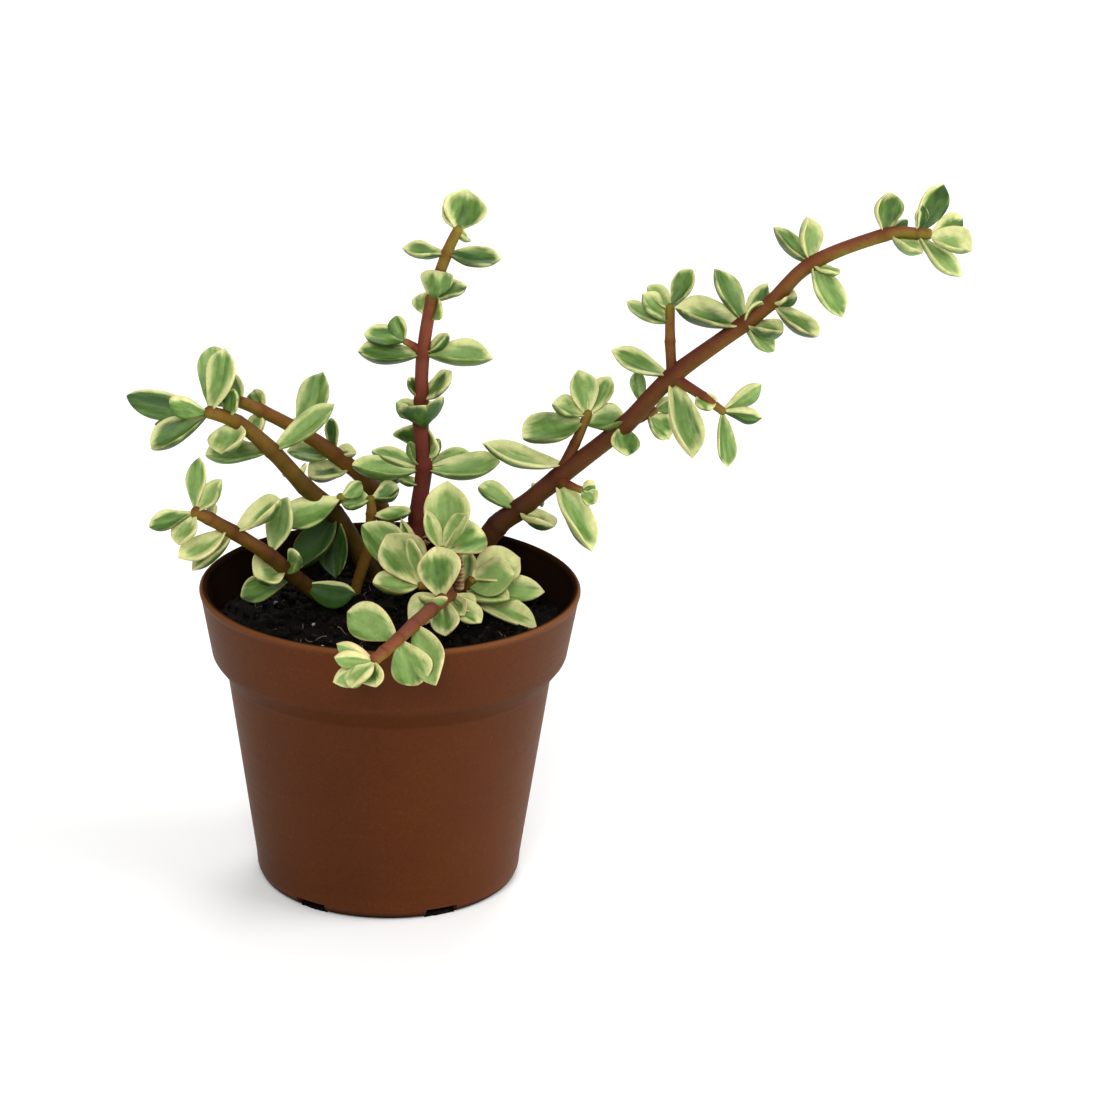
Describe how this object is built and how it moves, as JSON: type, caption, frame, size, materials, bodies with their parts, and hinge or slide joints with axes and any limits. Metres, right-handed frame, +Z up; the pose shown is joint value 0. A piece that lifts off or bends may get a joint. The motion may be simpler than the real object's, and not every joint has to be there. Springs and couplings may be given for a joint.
{
  "type": "potted jade plant",
  "caption": "Small branching jade plant with cream-edged fleshy leaves, standing in soil in a tapered brown plastic nursery pot.",
  "frame": {"origin": "middle of the flat underside of the pot", "axes": "+Z up; +X towards the tip of the long leaning stem; -Y towards the side the picture is taken from"},
  "size_m": [0.1854, 0.1013, 0.1598],
  "materials": {
    "pot_plastic": "plain moulded brown plastic, faintly scuffed",
    "soil": "damp crumbly potting soil with a few grey grains",
    "leaf": "waxy fleshy leaf, green with a cream edge",
    "stem": "smooth maroon stem, greener at its tip"
  },
  "bodies": {
    "root": {"pot": "pot_plastic", "soil": "soil", "upright_stem": "leaf", "right_stem": "leaf", "left_stem": "leaf", "rear_left_stem": "leaf", "low_left_stem": "leaf", "back_shoot": "leaf", "front_stem": "leaf", "right_shoot": "leaf"}
  },
  "joints": []
}
